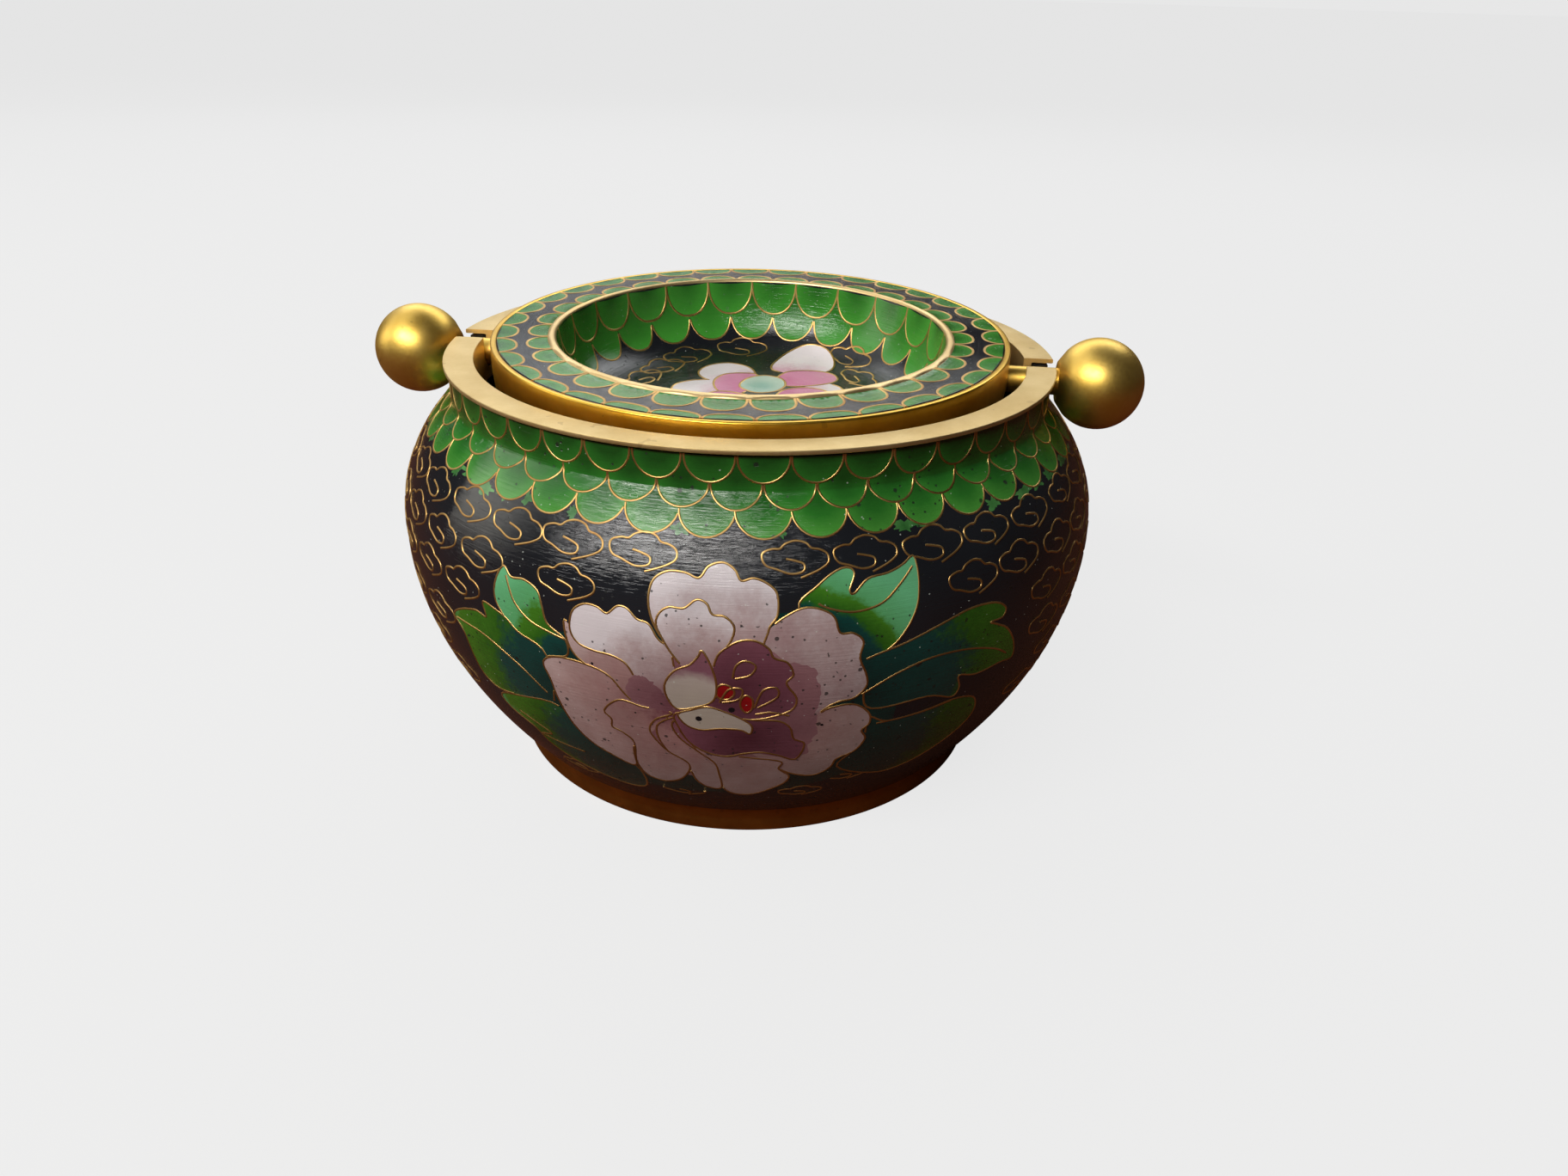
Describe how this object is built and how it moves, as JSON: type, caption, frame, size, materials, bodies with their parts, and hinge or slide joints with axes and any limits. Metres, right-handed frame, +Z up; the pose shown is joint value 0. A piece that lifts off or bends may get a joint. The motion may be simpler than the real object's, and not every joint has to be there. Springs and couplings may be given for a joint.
{
  "type": "revolving dish ashtray pot",
  "caption": "Squat round enamelled pot on a brass foot, with a shallow dish in its mouth that turns over on two ball knobs and tips what it holds into the pot.",
  "frame": {"origin": "centre of the foot's underside, on the pot's axis", "axes": "+Z up along the pot's axis, +X along the dish's pins towards the right knob, -Y to the front"},
  "size_m": [0.1112, 0.1, 0.0623],
  "materials": {
    "enamel_green": "glossy green and black enamel with thin gilt wires",
    "enamel_black": "glossy black and green enamel with thin gilt wires",
    "gilt_brass": "satin, turned",
    "pale_brass": "matt, sanded flat"
  },
  "bodies": {
    "pot": {"pot_body": "enamel_green", "rim_ring": "pale_brass", "foot_ring": "gilt_brass"},
    "tipping_dish": {"dish": "enamel_black", "dish_band": "gilt_brass", "knob_left": "gilt_brass", "knob_right": "gilt_brass"}
  },
  "joints": [
    {"name": "dish_turn", "type": "hinge", "parent": "pot", "child": "tipping_dish", "pos_m": [0, 0, 0.05595], "axis": [1, 0, 0], "continuous": true}
  ]
}
